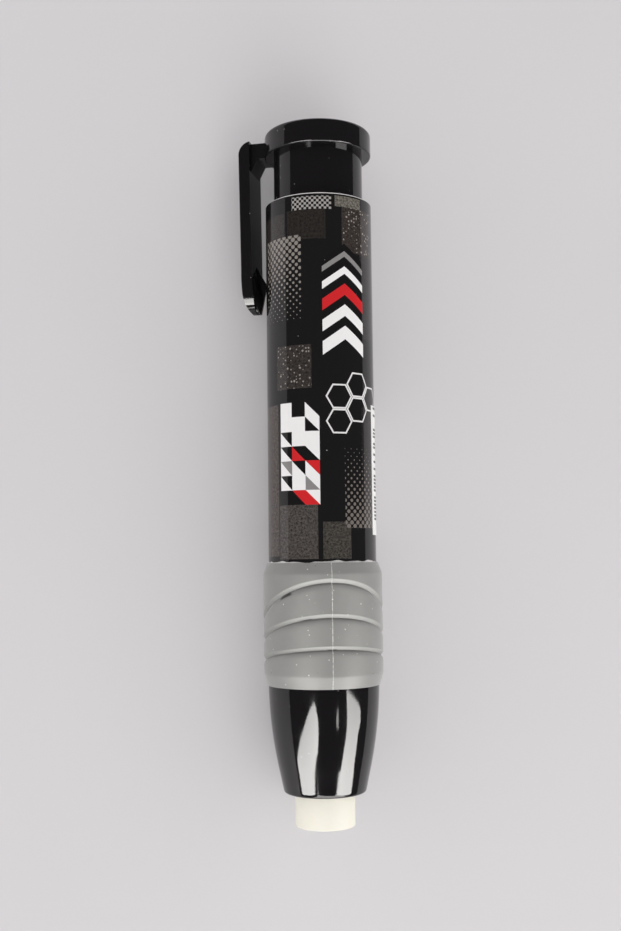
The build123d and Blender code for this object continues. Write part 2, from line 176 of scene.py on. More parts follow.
for name, (toward, (near, near_radiance), (far, far_radiance), corners) in panels.items():
    facing = Vector(toward).normalized()
    level = Vector((0, 0, 1)).cross(facing).normalized()
    rise = facing.cross(level)
    bm = bmesh.new()
    bm.faces.new([bm.verts.new(facing * panel_distance + level * x + rise * y)
                  for x, y in reversed(corners)])
    panel_mesh = bpy.data.meshes.new(name)
    bm.to_mesh(panel_mesh)
    bm.free()
    panel = bpy.data.objects.new(name, panel_mesh)
    bpy.context.scene.collection.objects.link(panel)
    diffuser, tree, shader = new_material(name + "_diffuser")
    coords = add(tree, "ShaderNodeTexCoord").outputs["Object"]
    across = add(tree, "ShaderNodeVectorMath", {"operation": "DOT_PRODUCT"}, {0: coords, 1: level})
    fade = add(tree, "ShaderNodeMapRange", inputs={
        0: across, 1: near, 2: far, 3: near_radiance, 4: far_radiance})
    wire(shader, {"Emission Color": linear("fffdfa"), "Emission Strength": fade})
    panel_mesh.materials.append(diffuser)
    panel.visible_camera = False
    panel.visible_diffuse = False
    panel.visible_shadow = False
# The tent over the table gives most of the light, and one large lamp, high on
# the right toward the eraser, gives the rest.
lamp_place = Vector((0.22, -0.75, 0.62))
lamp_size = 0.8
lamp_watts = 3.5
lamp_data = bpy.data.lights.new("overhead", "AREA")
lamp_data.shape = "SQUARE"
lamp_data.size = lamp_size
lamp_data.energy = lamp_watts
lamp = bpy.data.objects.new("overhead", lamp_data)
bpy.context.scene.collection.objects.link(lamp)
lamp.location = lamp_place
lamp.rotation_euler = lamp_place.to_track_quat("Z", "Y").to_euler()
lamp.visible_glossy = False
low_glow = 2.2
high_glow = 0.67
world = bpy.data.worlds.new("room")
bpy.context.scene.world = world
world.use_nodes = True
tree = world.node_tree
tree.nodes.clear()
path = add(tree, "ShaderNodeLightPath")
sky = add(tree, "ShaderNodeTexCoord").outputs["Generated"]
height = add(tree, "ShaderNodeSeparateXYZ", inputs={0: sky}).outputs[2]
glow = add(tree, "ShaderNodeMapRange", inputs={0: height, 1: 0.0, 2: 0.75, 3: low_glow, 4: high_glow})
room = add(tree, "ShaderNodeBackground", inputs={"Color": linear("e8e6e8"), "Strength": glow})
dark = add(tree, "ShaderNodeBackground", inputs={"Color": linear("3c3a3c"), "Strength": 1.0})
pale = add(tree, "ShaderNodeBackground", inputs={"Color": linear("d4d2d3"), "Strength": 1.0})
gloss = add(tree, "ShaderNodeMixShader", inputs={0: path.outputs["Is Glossy Ray"], 1: room, 2: dark})
seen = add(tree, "ShaderNodeMixShader", inputs={0: path.outputs["Is Camera Ray"], 1: gloss, 2: pale})
add(tree, "ShaderNodeOutputWorld", inputs={0: seen})

# Eraser stick. A round rod of ivory-white vinyl eraser, extruded and cut square,
# so its skin is matt with faint die lines and its rim is a little rubbed.
stick_low, stick_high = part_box("eraser_stick")
stick_radius = stick_high.x
rim_wear = 0.22 * MM
tolerance = 0.01 * MM


def new_piece(name, bm, body, replaced):
    """Turns a bmesh into a smooth piece that rides on a body in place of a CAD node."""
    mesh = bpy.data.meshes.new(name)
    bm.to_mesh(mesh)
    bm.free()
    mesh.shade_smooth()
    mesh.set_sharp_from_angle(angle=math.radians(30))
    piece = bpy.data.objects.new(name, mesh)
    bpy.context.scene.collection.objects.link(piece)
    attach(piece, body)
    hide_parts(replaced)
    return piece


def spin_outline(outline, steps):
    """A closed body of revolution about Y from (radius, station) points."""
    bm = bmesh.new()
    corners = [bm.verts.new((radius, station, 0)) for radius, station in outline]
    edges = [bm.edges.new((one, two)) for one, two in zip(corners, corners[1:])]
    if outline[0][0] > 0:
        edges.append(bm.edges.new((corners[-1], corners[0])))
    bmesh.ops.spin(bm, geom=corners + edges, cent=(0, 0, 0), axis=(0, 1, 0),
                   angle=2 * math.pi, steps=steps, use_merge=True)
    bmesh.ops.remove_doubles(bm, verts=bm.verts, dist=0.0001 * MM)
    bmesh.ops.recalc_face_normals(bm, faces=bm.faces)
    return bm


def rim_edges(bm, radius):
    """The edges that run round a body of revolution at its outside radius."""
    return [e for e in bm.edges if all(v.co.xz.length > radius - tolerance for v in e.verts)
            and abs(e.verts[0].co.y - e.verts[1].co.y) < tolerance]


bm = spin_outline([
    (0, stick_low.y),
    (stick_radius, stick_low.y),
    (stick_radius, stick_high.y),
    (0, stick_high.y),
], steps=128)
bmesh.ops.bevel(bm, geom=rim_edges(bm, stick_radius), offset=rim_wear, segments=4, profile=0.5,
                affect="EDGES", material=-1)
eraser = new_piece("eraser_rod", bm, "stick", "eraser_stick")
vinyl, tree, shader = new_material("eraser_vinyl")
coords = add(tree, "ShaderNodeTexCoord").outputs["Object"]
along = add(tree, "ShaderNodeMapping", inputs={"Vector": coords, "Scale": (1, 0.08, 1)})
die_lines = add(tree, "ShaderNodeTexNoise", inputs={
    "Vector": along, "Scale": 1 / (0.35 * MM), "Detail": 3.0})
grain = add(tree, "ShaderNodeTexNoise", inputs={"Vector": coords, "Scale": 1 / (0.25 * MM), "Detail": 4.0})
cloud = add(tree, "ShaderNodeTexNoise", inputs={"Vector": coords, "Scale": 1 / (5 * MM), "Detail": 2.0})
tone = add(tree, "ShaderNodeMix", {"data_type": "RGBA"},
           {0: cloud, 6: linear("eeecdb"), 7: linear("f3f1e4")})
# The knife left the tip's face duller than the skin, with faint lines across it.
depth = add(tree, "ShaderNodeSeparateXYZ", inputs={0: coords}).outputs[1]
face = add(tree, "ShaderNodeMath", {"operation": "LESS_THAN"}, {0: depth, 1: stick_low.y + 0.05 * MM})
across = add(tree, "ShaderNodeMapping", inputs={"Vector": coords, "Scale": (0.06, 1, 1)})
knife_lines = add(tree, "ShaderNodeTexNoise", inputs={
    "Vector": across, "Scale": 1 / (0.25 * MM), "Detail": 3.0})
cut_tone = add(tree, "ShaderNodeMix", {"data_type": "RGBA"},
               {0: knife_lines, 6: linear("dcd7cb"), 7: linear("ebe6dc")})
tone = add(tree, "ShaderNodeMix", {"data_type": "RGBA"}, {0: face, 6: tone, 7: cut_tone})
relief = add(tree, "ShaderNodeMath", {"operation": "ADD"}, {0: die_lines, 1: grain})
bump = add(tree, "ShaderNodeBump", inputs={"Strength": 0.5, "Distance": 0.02 * MM, "Height": relief})
wire(shader, {"Base Color": tone, "Normal": bump, "Roughness": 0.62, "Specular IOR Level": 0.3,
              "Subsurface Weight": 0.1, "Subsurface Scale": 1 * MM})
eraser.data.materials.append(vinyl)

# Drag ring. A bush of dark nitrile rubber, moulded and pushed into the nose's
# pocket. It holds the stick while the jaws are open. The skin is dull and grainy.
nitrile, tree, shader = new_material("nitrile_rubber")
coords = add(tree, "ShaderNodeTexCoord").outputs["Object"]
grain = add(tree, "ShaderNodeTexNoise", inputs={"Vector": coords, "Scale": 1 / (0.2 * MM), "Detail": 3.0})
tone = add(tree, "ShaderNodeMix", {"data_type": "RGBA"},
           {0: grain, 6: linear("2f2e2d"), 7: linear("434240")})
bump = add(tree, "ShaderNodeBump", inputs={"Strength": 0.4, "Distance": 0.02 * MM, "Height": grain})
wire(shader, {"Base Color": tone, "Normal": bump, "Roughness": 0.8})
nodes["drag_ring"].material_slots[0].material = nitrile

# Grip sleeve. Grey thermoplastic rubber, moulded in two halves and pushed over
# the barrel's front. Three leaning grooves run round it. Where the halves met
# stands a thin bright line of flash.
grip_radius = grip_high.z
grip_wall = 1.6 * MM
front_bevel_length = 1.95 * MM
front_bevel_depth = 0.6 * MM
rear_bevel_length = 1.75 * MM
rear_bevel_depth = 0.7 * MM
groove_depth = 0.45 * MM
seam_turn = math.radians(-5.2)
seam_out = Vector((math.sin(seam_turn), 0, math.cos(seam_turn)))
seam_side = Vector((math.cos(seam_turn), 0, -math.sin(seam_turn)))
grooves = [(6.3 * MM, math.radians(11.0)), (11.4 * MM, math.radians(20.0)), (17.0 * MM, math.radians(29.2))]
# A groove's depth across it, from its pillowed front lip to its flat rear wall.
groove_outline = [(-0.95 * MM, 0), (-0.7 * MM, 0.05), (-0.48 * MM, 0.16), (-0.3 * MM, 0.36),
                  (-0.14 * MM, 0.66), (0, 1), (0.62 * MM, 0)]
flash_half = 0.13 * MM
flash_height = 0.06 * MM
flash_share = (0.4, 1.3)
flash_white = (0.7, 1)
crest_round = 0.22 * MM
lip_round = 0.07 * MM
bm = spin_outline([
    (grip_radius - grip_wall, grip_low.y),
    (grip_radius - front_bevel_depth, grip_low.y),
    (grip_radius, grip_low.y + front_bevel_length),
    (grip_radius, grip_high.y - rear_bevel_length),
    (grip_radius - rear_bevel_depth, grip_high.y),
    (grip_radius - grip_wall, grip_high.y),
], steps=192)
bmesh.ops.bevel(bm, geom=rim_edges(bm, grip_radius), offset=crest_round, segments=3, profile=0.5,
                affect="EDGES", material=-1)


def cut(bm, point, normal):
    """Cuts the whole mesh along a plane."""
    bmesh.ops.bisect_plane(bm, geom=bm.verts[:] + bm.edges[:] + bm.faces[:], dist=0.001 * MM,
                           plane_co=point, plane_no=normal)


ring_gap = 0.7 * MM
for ring in range(int((grip_high.y - grip_low.y) / ring_gap)):
    cut(bm, (0, grip_low.y + ring * ring_gap, 0), (0, 1, 0))
for side in (-flash_half, 0, flash_half):
    cut(bm, seam_side * side, seam_side)
groove_planes = []
for peak, lean in grooves:
    centre = Vector((0, grip_low.y + peak - grip_radius * math.tan(lean), 0))
    normal = Vector((0, math.cos(lean), 0)) - seam_out * math.sin(lean)
    groove_planes.append((centre, normal))
    for offset, share in groove_outline:
        cut(bm, centre + normal * offset, normal)
dirt = bm.verts.layers.float.new("groove")
flash = bm.verts.layers.float.new("seam")
chance = random.Random(7)
# The cuts leave the vertices in no fixed order, so they are taken from front to
# rear, and each run gives the same flash.
for vertex in sorted(bm.verts, key=lambda v: v.co.y):
    radial = vertex.co.xz.length
    if radial < grip_radius - grip_wall / 2:
        continue
    drop = 0
    for centre, normal in groove_planes:
        offset = (vertex.co - centre).dot(normal)
        for (near, near_share), (far, far_share) in zip(groove_outline, groove_outline[1:]):
            if near <= offset <= far:
                share = near_share + (far_share - near_share) * (offset - near) / (far - near)
                drop = groove_depth * share
                vertex[dirt] = share
    if abs(vertex.co.dot(seam_side)) < tolerance and vertex.co.dot(seam_out) > 0:
        drop -= flash_height * chance.uniform(*flash_share)
        vertex[flash] = chance.uniform(*flash_white)
    vertex.co.x *= 1 - drop / radial
    vertex.co.z *= 1 - drop / radial
grip = new_piece("grip_rubber", bm, "holder", "grip_sleeve")
soften = grip.modifiers.new("soft_lips", "BEVEL")
soften.width = lip_round
soften.segments = 3
soften.limit_method = "ANGLE"
soften.angle_limit = math.radians(24)
soften.harden_normals = True
elastomer, tree, shader = new_material("moulded_elastomer")
coords = add(tree, "ShaderNodeTexCoord").outputs["Object"]
# The spark-eroded mould gives a fine matt grain. Real grain is about 0.05 mm,
# drawn at 0.16 mm so that it shows.
grain = add(tree, "ShaderNodeTexNoise", inputs={"Vector": coords, "Scale": 1 / (0.16 * MM), "Detail": 3.0})
cloud = add(tree, "ShaderNodeTexNoise", inputs={"Vector": coords, "Scale": 1 / (3 * MM), "Detail": 4.0})
tone = add(tree, "ShaderNodeMix", {"data_type": "RGBA"},
           {0: cloud, 6: linear("858582"), 7: linear("8f8f8b")})
# Lint sits on the rubber as white specks, with a few dark crumbs between them.
fray = 0.1 * MM
torn = add(tree, "ShaderNodeTexNoise", inputs={"Vector": coords, "Scale": 1 / (0.12 * MM), "Detail": 2.0})
frayed = add(tree, "ShaderNodeMix", {"data_type": "VECTOR"},
             {0: fray, 4: coords, 5: torn.outputs["Color"]})
lint = add(tree, "ShaderNodeTexVoronoi", inputs={"Vector": frayed, "Scale": 1 / (0.8 * MM)})
pick = add(tree, "ShaderNodeSeparateColor", inputs={0: lint.outputs["Color"]})
light_cell = add(tree, "ShaderNodeMath", {"operation": "LESS_THAN"}, {0: pick.outputs[0], 1: 0.6})
dark_cell = add(tree, "ShaderNodeMath", {"operation": "GREATER_THAN"}, {0: pick.outputs[0], 1: 0.87})
sizes = add(tree, "ShaderNodeMath", {"operation": "POWER"}, {0: pick.outputs[1], 1: 3.0})
reach = add(tree, "ShaderNodeMapRange", inputs={0: sizes, 3: 0.05, 4: 0.17})
small = add(tree, "ShaderNodeMath", {"operation": "LESS_THAN"}, {0: lint, 1: reach})
white_speck = add(tree, "ShaderNodeMath", {"operation": "MULTIPLY"}, {0: light_cell, 1: small})
dark_speck = add(tree, "ShaderNodeMath", {"operation": "MULTIPLY"}, {0: dark_cell, 1: small})
tone = add(tree, "ShaderNodeMix", {"data_type": "RGBA"}, {0: white_speck, 6: tone, 7: linear("cdccc5")})
tone = add(tree, "ShaderNodeMix", {"data_type": "RGBA"}, {0: dark_speck, 6: tone, 7: linear("3a3a38")})
# Painted highlight: the grooves' rear walls, which face the lamp, are drawn paler, most of all on the upper
# side.
groove = add(tree, "ShaderNodeAttribute", {"attribute_name": "groove"})
outward = add(tree, "ShaderNodeTexCoord").outputs["Normal"]
forward = add(tree, "ShaderNodeSeparateXYZ", inputs={0: outward}).outputs[1]
steep = add(tree, "ShaderNodeMapRange", inputs={0: forward, 1: -0.35, 2: -0.5})
sunk = add(tree, "ShaderNodeMapRange", inputs={0: groove.outputs["Fac"], 1: 0.05, 2: 0.25})
height = add(tree, "ShaderNodeSeparateXYZ", inputs={0: coords}).outputs[2]
upper = add(tree, "ShaderNodeMapRange", inputs={0: height, 1: 3.5 * MM, 2: 7.5 * MM, 3: 0.1, 4: 1.0})
painted_highlight = add(tree, "ShaderNodeMath", {"operation": "MULTIPLY"}, {0: steep, 1: sunk})
painted_highlight = add(tree, "ShaderNodeMath", {"operation": "MULTIPLY"}, {0: painted_highlight, 1: upper})
tone = add(tree, "ShaderNodeMix", {"data_type": "RGBA"}, {0: painted_highlight, 6: tone, 7: linear("a6a6a2")})
# Painted shade lines the fold under each front lip, with darker stretches of grime and one smudge.
smudge_place = Vector((-7.4, 37.7, 6.1)) * MM
patch = add(tree, "ShaderNodeTexNoise", inputs={"Vector": coords, "Scale": 1 / (4 * MM), "Detail": 1.0})
settled = add(tree, "ShaderNodeMapRange", inputs={0: patch, 1: 0.6, 2: 0.68})
deep = add(tree, "ShaderNodeMapRange", inputs={0: groove.outputs["Fac"], 1: 0.75, 2: 1.0})
near = add(tree, "ShaderNodeVectorMath", {"operation": "DISTANCE"}, {0: coords, 1: smudge_place})
smudge = add(tree, "ShaderNodeMapRange", inputs={0: near, 1: 1.5 * MM, 2: 1.0 * MM})
half_deep = add(tree, "ShaderNodeMapRange", inputs={0: groove.outputs["Fac"], 1: 0.25, 2: 0.6})
lip_side = add(tree, "ShaderNodeMapRange", inputs={0: forward, 1: -0.45, 2: -0.15})
fold = add(tree, "ShaderNodeMath", {"operation": "MULTIPLY"}, {0: half_deep, 1: lip_side})
# Painted shade all along the fold.
thin = add(tree, "ShaderNodeMath", {"operation": "MULTIPLY"}, {0: fold, 1: 0.35})
shallow = add(tree, "ShaderNodeMapRange", inputs={0: groove.outputs["Fac"], 1: 0.06, 2: 0.2})
filled = add(tree, "ShaderNodeMath", {"operation": "MULTIPLY"}, {0: shallow, 1: lip_side})
filled = add(tree, "ShaderNodeMath", {"operation": "MULTIPLY"}, {0: filled, 1: smudge})
lined = add(tree, "ShaderNodeMath", {"operation": "MULTIPLY"}, {0: settled, 1: deep})
grime_and_painted_shade = add(tree, "ShaderNodeMath", {"operation": "MAXIMUM"}, {0: filled, 1: lined})
grime_and_painted_shade = add(tree, "ShaderNodeMath", {"operation": "MAXIMUM"}, {0: grime_and_painted_shade, 1: thin})
tone = add(tree, "ShaderNodeMix", {"data_type": "RGBA"}, {0: grime_and_painted_shade, 6: tone, 7: linear("1f1f1e")})
# The flash is thin enough to look white, and nibbled into a row of beads.
line = add(tree, "ShaderNodeAttribute", {"attribute_name": "seam"})
nibbles = add(tree, "ShaderNodeTexNoise", inputs={
    "Vector": coords, "Scale": 1 / (0.35 * MM), "Detail": 1.0})
beads = add(tree, "ShaderNodeMapRange", inputs={0: nibbles, 1: 0.38, 2: 0.56, 3: 0.3, 4: 1.0})
white = add(tree, "ShaderNodeMath", {"operation": "MULTIPLY"}, {0: line.outputs["Fac"], 1: beads})
tone = add(tree, "ShaderNodeMix", {"data_type": "RGBA"}, {0: white, 6: tone, 7: linear("e4e4de")})
bump = add(tree, "ShaderNodeBump", inputs={"Strength": 0.35, "Distance": 0.02 * MM, "Height": grain})
wire(shader, {"Base Color": tone, "Normal": bump, "Roughness": 0.45,
              "Sheen Weight": 0.4, "Sheen Roughness": 0.4})
grip.data.materials.append(elastomer)

# Nose cone. An injection-moulded screw-on cone of black polystyrene from a
# polished mould. It reflects like lacquer, with dust and fine handling marks.
nose_low, nose_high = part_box("nose_cone")
nose_front_radius = 6.82 * MM
nose_rear_radius = 9.27 * MM
front_slope = math.radians(12.14)
rear_slope = math.radians(1.0)
# In front it is a straight cone, and behind that one long arc up to the grip.
steepness = math.tan(front_slope)
sine_span = math.sin(front_slope) - math.sin(rear_slope)
cosine_span = math.cos(rear_slope) - math.cos(front_slope)
spare = nose_front_radius + (grip_low.y - nose_low.y) * steepness - nose_rear_radius
arc_radius = spare / (sine_span * steepness - cosine_span)
arc_start = grip_low.y - arc_radius * sine_span
arc_middle = arc_start + arc_radius * math.sin(front_slope)


def nose_radius(station):
    """The outside radius of the nose at a station along it."""
    if station < arc_start:
        return nose_front_radius + (station - nose_low.y) * steepness
    sag = arc_radius * math.cos(rear_slope) - math.sqrt(arc_radius ** 2 - (station - arc_middle) ** 2)
    return nose_rear_radius - sag


# Its outline runs from the mouth over the front round and up the outside, then
# back through the spigot, the drag ring's pocket and the cored-out front.
mouth = 5.12 * MM
mouth_land = 2 * MM
spigot_radius = 7.44 * MM
spigot_bore = 6.58 * MM
pocket_radius = 6.21 * MM
core_radius = 5.97 * MM
pocket_rear = 26.88 * MM
pocket_front = 20.88 * MM
front_round = 0.5 * MM
round_steps = 6
corner_turn = math.pi / 2 - front_slope
corner_reach = front_round * math.tan(corner_turn / 2)
outline = [(mouth, nose_low.y)]
for step in range(round_steps + 1):
    turn = corner_turn * step / round_steps
    radius = nose_front_radius - corner_reach + front_round * math.sin(turn)
    outline.append((radius, nose_low.y + front_round - front_round * math.cos(turn)))
cone_start = outline[-1][1]
ring_gap = 0.35 * MM
ring_count = math.ceil((grip_low.y - cone_start) / ring_gap)
for ring in range(1, ring_count + 1):
    station = cone_start + (grip_low.y - cone_start) * ring / ring_count
    outline.append((nose_radius(station), station))
outline += [
    (spigot_radius, grip_low.y),
    (spigot_radius, nose_high.y),
    (spigot_bore, nose_high.y),
    (spigot_bore, pocket_rear),
    (pocket_radius, pocket_rear),
    (pocket_radius, pocket_front),
    (core_radius, pocket_front),
    (mouth, nose_low.y + mouth_land),
]
bm = spin_outline(outline, steps=192)
nose = new_piece("nose_shell", bm, "holder", "nose_cone")


def dust_specks(tree, coords, spacing, share, smallest, largest):
    """Round dust specks in a share of all cells, their sizes given as parts of a cell."""
    cells = add(tree, "ShaderNodeTexVoronoi", inputs={"Vector": coords, "Scale": 1 / spacing})
    pick = add(tree, "ShaderNodeSeparateColor", inputs={0: cells.outputs["Color"]})
    dusty = add(tree, "ShaderNodeMath", {"operation": "LESS_THAN"}, {0: pick.outputs[0], 1: share})
    reach = add(tree, "ShaderNodeMapRange", inputs={0: pick.outputs[1], 3: smallest, 4: largest})
    small = add(tree, "ShaderNodeMath", {"operation": "LESS_THAN"}, {0: cells, 1: reach})
    return add(tree, "ShaderNodeMath", {"operation": "MULTIPLY"}, {0: dusty, 1: small})


polystyrene, tree, shader = new_material("polished_polystyrene")
coords = add(tree, "ShaderNodeTexCoord").outputs["Object"]
specks = dust_specks(tree, coords, spacing=0.9 * MM, share=0.24, smallest=0.03, largest=0.1)
tone = add(tree, "ShaderNodeMix", {"data_type": "RGBA"},
           {0: specks, 6: linear("171617"), 7: linear("a8a6a2")})
marks = add(tree, "ShaderNodeTexNoise", inputs={"Vector": coords, "Scale": 1 / (6 * MM), "Detail": 6.0})
haze = add(tree, "ShaderNodeMapRange", inputs={0: marks, 1: 0.35, 2: 0.75, 3: 0.04, 4: 0.1})
# The mould's polishing leaves a fine orange peel.
peel = add(tree, "ShaderNodeTexNoise", inputs={"Vector": coords, "Scale": 1 / (0.22 * MM), "Detail": 1.0})
bump = add(tree, "ShaderNodeBump", inputs={"Strength": 0.5, "Distance": 0.004 * MM, "Height": peel})
wire(shader, {"Base Color": tone, "Roughness": haze, "Normal": bump, "IOR": 1.5})
nose.data.materials.append(polystyrene)

# Barrel. A white tube, moulded in polystyrene. It shows as a thin line at its
# rear rim and between the film and the grip.
white_styrene, tree, shader = new_material("white_polystyrene")
coords = add(tree, "ShaderNodeTexCoord").outputs["Object"]
cloud = add(tree, "ShaderNodeTexNoise", inputs={"Vector": coords, "Scale": 1 / (8 * MM), "Detail": 2.0})
tone = add(tree, "ShaderNodeMix", {"data_type": "RGBA"},
           {0: cloud, 6: linear("efedea"), 7: linear("f6f5f2")})
marks = add(tree, "ShaderNodeTexNoise", inputs={"Vector": coords, "Scale": 1 / (2 * MM), "Detail": 5.0})
haze = add(tree, "ShaderNodeMapRange", inputs={0: marks, 3: 0.18, 4: 0.34})
wire(shader, {"Base Color": tone, "Roughness": haze})
nodes["barrel"].material_slots[0].material = white_styrene

# Printed film. A clear film printed on its back and shrunk on the barrel, so
# the print lies under a gloss with faint ripples, and its cut front edge waves.
film_low, film_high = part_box("printed_film")
film_radius = film_high.x
film_thickness = 0.08 * MM
edge_waves = [(3, 0.07 * MM, 0.4), (7, 0.08 * MM, 2.0), (17, 0.07 * MM, 1.1), (29, 0.03 * MM, 0.2)]
bm = spin_outline([
    (film_radius - film_thickness, film_low.y),
    (film_radius, film_low.y),
    (film_radius, film_high.y),
    (film_radius - film_thickness, film_high.y),
], steps=256)
for vertex in bm.verts:
    if vertex.co.y < film_low.y + tolerance:
        turn = math.atan2(vertex.co.x, vertex.co.z)
        vertex.co.y += sum(height * math.sin(count * turn + phase) for count, height, phase in edge_waves)
film = new_piece("film_skin", bm, "holder", "printed_film")
print_film, tree, shader = new_material("printed_shrink_film")
coords = add(tree, "ShaderNodeTexCoord").outputs["Object"]
split = add(tree, "ShaderNodeSeparateXYZ", inputs={0: coords})
turn = add(tree, "ShaderNodeMath", {"operation": "ARCTAN2"}, {0: split.outputs[0], 1: split.outputs[2]})
# The print is laid out in millimetres: round the barrel from its top line, and
# along it from the eraser's tip. It comes twice round the barrel.
print_seam = -16.4
print_width = math.pi * film_radius / MM
girth = add(tree, "ShaderNodeMath", {"operation": "MULTIPLY"}, {0: turn, 1: film_radius / MM})
girth = add(tree, "ShaderNodeMath", {"operation": "WRAP"},
            {0: girth, 1: print_seam + print_width, 2: print_seam})
station = add(tree, "ShaderNodeMath", {"operation": "DIVIDE"}, {0: split.outputs[1], 1: MM})
sheet = add(tree, "ShaderNodeCombineXYZ", inputs={0: girth, 1: station})


def field(side, middle, half_width, half_length):
    """A rectangle on the print, from its middle and its half sizes."""
    across = add(tree, "ShaderNodeMath", {"operation": "COMPARE"}, {0: girth, 1: side, 2: half_width})
    along = add(tree, "ShaderNodeMath", {"operation": "COMPARE"}, {0: station, 1: middle, 2: half_length})
    return add(tree, "ShaderNodeMath", {"operation": "MULTIPLY"}, {0: across, 1: along})


ink_grain = add(tree, "ShaderNodeTexNoise", inputs={"Vector": sheet, "Scale": 6.0, "Detail": 3.0})
tone = add(tree, "ShaderNodeMix", {"data_type": "RGBA"},
           {0: ink_grain, 6: linear("161616"), 7: linear("1e1d1d")})
# Worn-looking blocks of warm grey, each with its own strength.
blocks = [
    ((-13.2, 57.0, 3.0, 12.5), 0.95, "655b56"), ((-6.4, 48.4, 3.6, 4.4), 0.9, "67615c"),
    ((0.4, 47.0, 2.4, 3.0), 0.85, "5f5b54"), ((8.6, 88.0, 3.2, 7.5), 0.5, "4c4744"),
    ((-7.0, 75.5, 3.4, 3.6), 0.7, "544d48"), ((8.6, 60.0, 3.2, 9.0), 0.35, "47423f"),
    ((-12.0, 96.0, 3.6, 5.5), 0.5, "544c48"), ((-4.4, 99.2, 3.4, 2.5), 0.7, "3d3833"),
    ((5.4, 98.4, 3.6, 3.8), 0.9, "4d4540"), ((3.2, 103.1, 2.6, 0.9), 1.0, "8b877c"),
]
mottle = add(tree, "ShaderNodeTexNoise", inputs={
    "Vector": sheet, "Scale": 2.6, "Detail": 8.0, "Roughness": 0.75})
worn = add(tree, "ShaderNodeMapRange", inputs={0: mottle, 1: 0.36, 2: 0.62})
for place, strength, colour in blocks:
    rubbed = add(tree, "ShaderNodeMath", {"operation": "MULTIPLY"}, {0: field(*place), 1: worn})
    inked = add(tree, "ShaderNodeMath", {"operation": "MULTIPLY"}, {0: rubbed, 1: strength})
    tone = add(tree, "ShaderNodeMix", {"data_type": "RGBA"}, {0: inked, 6: tone, 7: linear(colour)})
# Stipple: light dots of mixed sizes, thrown loosely over two of the blocks.
stipple_spacing = 0.55
loose = add(tree, "ShaderNodeTexVoronoi", {"voronoi_dimensions": "2D"},
            {"Vector": sheet, "Scale": 1 / stipple_spacing})
pick = add(tree, "ShaderNodeSeparateColor", inputs={0: loose.outputs["Color"]})
shown = add(tree, "ShaderNodeMath", {"operation": "GREATER_THAN"}, {0: pick.outputs[0], 1: 0.6})
reach = add(tree, "ShaderNodeMapRange", inputs={0: pick.outputs[1], 3: 0.06, 4: 0.32})
stipple = add(tree, "ShaderNodeMath", {"operation": "LESS_THAN"}, {0: loose, 1: reach})
stipple = add(tree, "ShaderNodeMath", {"operation": "MULTIPLY"}, {0: stipple, 1: shown})
for place in [(5.4, 98.4, 3.6, 3.8), (-7.0, 75.5, 3.4, 3.6)]:
    inked = add(tree, "ShaderNodeMath", {"operation": "MULTIPLY"}, {0: field(*place), 1: stipple})
    tone = add(tree, "ShaderNodeMix", {"data_type": "RGBA"}, {0: inked, 6: tone, 7: linear("9d968f")})
# Halftone fields: dots on a lattice turned 45 degrees, growing along the field.
dot_spacing = 0.85
lattice = add(tree, "ShaderNodeMapping", inputs={"Vector": sheet, "Rotation": (0, 0, math.radians(45))})
dots = add(tree, "ShaderNodeTexVoronoi", {"voronoi_dimensions": "2D"},
           {"Vector": lattice, "Scale": 1 / dot_spacing, "Randomness": 0.0})
halftones = [(-9.4, 90.5, 4.2, 7.0, 0.1, 0.46, "8d8780"), (5.2, 55.5, 3.4, 6.5, 0.44, 0.08, "77706a")]
for side, middle, half_width, half_length, first_dot, last_dot, colour in halftones:
    growth = add(tree, "ShaderNodeMapRange", inputs={
        0: station, 1: middle - half_length, 2: middle + half_length, 3: first_dot, 4: last_dot})
    dot = add(tree, "ShaderNodeMath", {"operation": "LESS_THAN"}, {0: dots, 1: growth})
    area = field(side, middle, half_width, half_length)
    inked = add(tree, "ShaderNodeMath", {"operation": "MULTIPLY"}, {0: area, 1: dot})
    tone = add(tree, "ShaderNodeMix", {"data_type": "RGBA"}, {0: inked, 6: tone, 7: linear(colour)})
# A mosaic of half squares, mostly white and charcoal, with a little red.
tile = 2.4
across = add(tree, "ShaderNodeMath", {"operation": "DIVIDE"}, {0: girth, 1: tile})
onward = add(tree, "ShaderNodeMath", {"operation": "DIVIDE"}, {0: station, 1: tile})
column = add(tree, "ShaderNodeMath", {"operation": "FLOOR"}, {0: across})
row = add(tree, "ShaderNodeMath", {"operation": "FLOOR"}, {0: onward})
over = add(tree, "ShaderNodeMath", {"operation": "FRACT"}, {0: across})
beyond = add(tree, "ShaderNodeMath", {"operation": "FRACT"}, {0: onward})
both = add(tree, "ShaderNodeMath", {"operation": "ADD"}, {0: over, 1: beyond})
half = add(tree, "ShaderNodeMath", {"operation": "GREATER_THAN"}, {0: both, 1: 1.0})
cell = add(tree, "ShaderNodeCombineXYZ", inputs={0: column, 1: row, 2: half})
toss = add(tree, "ShaderNodeTexWhiteNoise", {"noise_dimensions": "3D"}, {"Vector": cell})
tile_colour = add(tree, "ShaderNodeValToRGB", inputs={0: toss})


def set_steps(ramp, steps):
    """Gives a colour ramp flat steps, each from its place to the next one's."""
    ramp.interpolation = "CONSTANT"
    ramp.elements[1].position = steps[1][0]
    for step in steps[2:]:
        ramp.elements.new(step[0])
    for element, step in zip(ramp.elements, steps):
        element.color = linear(step[1])


set_steps(tile_colour.color_ramp, [
    (0.0, "f4f3f1"), (0.4, "1a1919"), (0.66, "8c8a88"), (0.78, "f4f3f1"), (0.9, "d22a2e")])
area = field(side=-6.0, middle=61.2, half_width=3.6, half_length=8.4)
tone = add(tree, "ShaderNodeMix", {"data_type": "RGBA"}, {0: area, 6: tone, 7: tile_colour})
